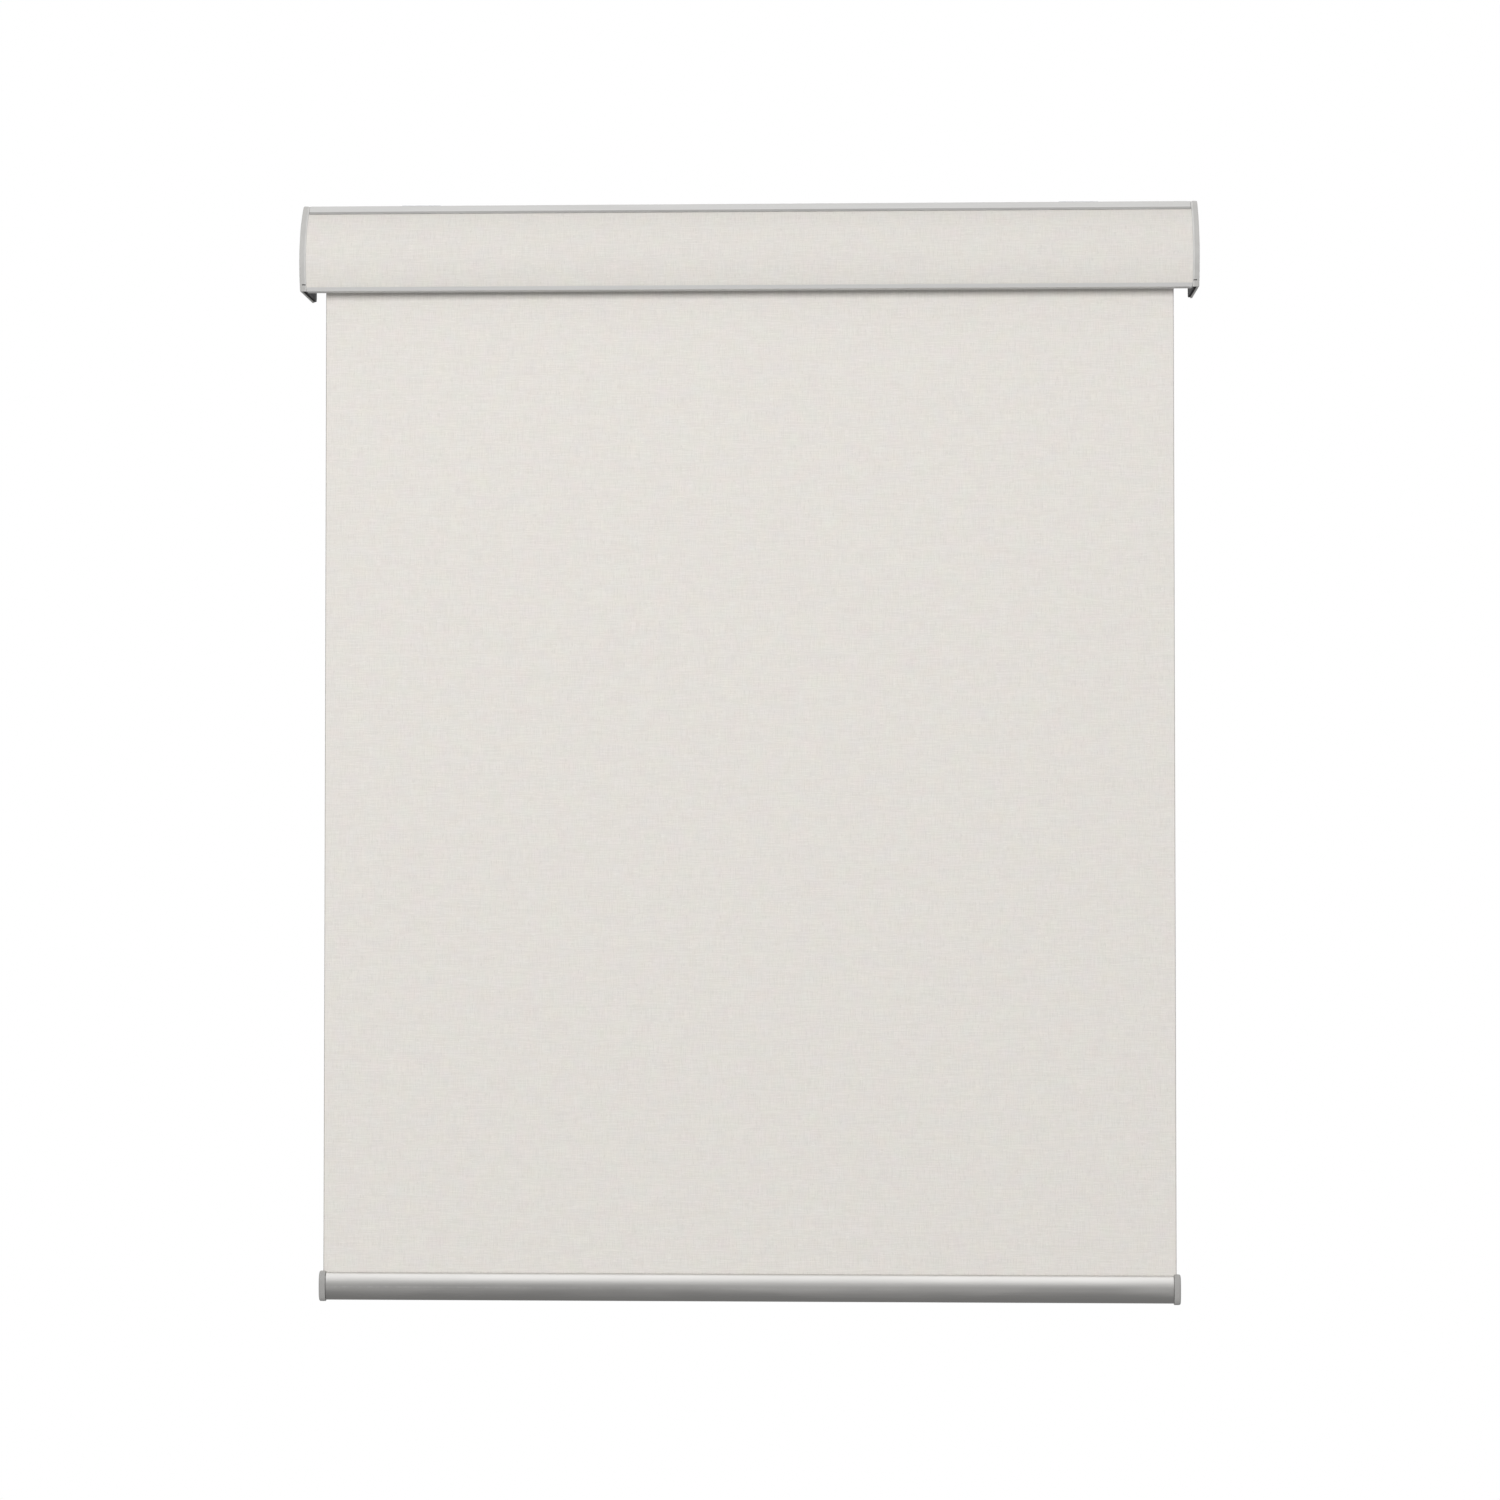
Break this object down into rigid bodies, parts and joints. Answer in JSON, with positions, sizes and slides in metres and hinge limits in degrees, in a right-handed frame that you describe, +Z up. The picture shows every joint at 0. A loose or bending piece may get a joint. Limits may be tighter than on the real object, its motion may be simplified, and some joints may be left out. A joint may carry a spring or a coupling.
{
  "type": "roller blind",
  "caption": "Cordless spring roller blind: curved cassette with a cloth-covered fascia, grey end covers, linen-look cloth and a rounded aluminium hem bar.",
  "frame": {"origin": "where the ceiling plane, the wall plane and the middle of the blind's width meet", "axes": "+X to the right as seen from the room, +Y towards the wall or window, +Z up"},
  "size_m": [0.915, 0.0885, 1.1229],
  "materials": {
    "anodised_aluminium": "light grey satin anodised extrusion",
    "satin_aluminium": "satin anodised, fine lengthwise draw lines",
    "cover_plastic": "fine-textured moulded grey",
    "black_steel": "black powder coat",
    "zinc_steel": "bright zinc plated",
    "white_nylon": "natural white nylon",
    "blind_cloth": "linen-look woven polyester, off white"
  },
  "bodies": {
    "headbox": {"head_rail": "anodised_aluminium", "fascia_panel": "anodised_aluminium", "fascia_fabric": "blind_cloth", "end_cover_left": "cover_plastic", "end_cover_right": "cover_plastic", "bracket_left": "black_steel", "bracket_right": "black_steel", "bracket_screw_left_rear": "zinc_steel", "bracket_screw_left_front": "zinc_steel", "bracket_screw_right_rear": "zinc_steel", "bracket_screw_right_front": "zinc_steel", "mounting_clip_left": "zinc_steel", "mounting_clip_right": "zinc_steel", "spring_anchor": "white_nylon", "spring_shaft": "zinc_steel", "shaft_circlip": "zinc_steel", "lift_spring": "zinc_steel", "idle_bush": "white_nylon", "cloth_sheet": "blind_cloth"},
    "roller": {"roller_tube": "satin_aluminium", "tube_spline": "white_nylon", "cloth_wraps": "blind_cloth", "spring_crown": "white_nylon", "spring_drive_plug": "white_nylon", "idle_plug": "white_nylon", "idle_plug_cap": "white_nylon", "pin_spring": "zinc_steel"},
    "idle_pin": {"idle_pin": "zinc_steel"},
    "hem": {"hem_bar": "satin_aluminium", "hem_spline": "white_nylon", "hem_cap_left": "cover_plastic", "hem_cap_right": "cover_plastic"}
  },
  "joints": [
    {"name": "hem_lift", "type": "slide", "parent": "headbox", "child": "hem", "axis": [0, 0, 1], "range_m": [0, 0.99], "deforming": ["cloth_sheet"]},
    {"name": "roller_spin", "type": "hinge", "parent": "headbox", "child": "roller", "pos_m": [0, -0.0455, -0.04], "axis": [1, 0, 0], "range_deg": [-2540, 0]},
    {"name": "idle_pin_slide", "type": "slide", "parent": "roller", "child": "idle_pin", "axis": [1, 0, 0], "range_m": [-0.008, 0], "stiffness_N_per_m": 600, "springref_m": 0.004, "deforming": ["pin_spring"]}
  ],
  "couplings": [
    {"joint": "roller_spin", "follows": "hem_lift", "rad_per_m": -44.72}
  ]
}
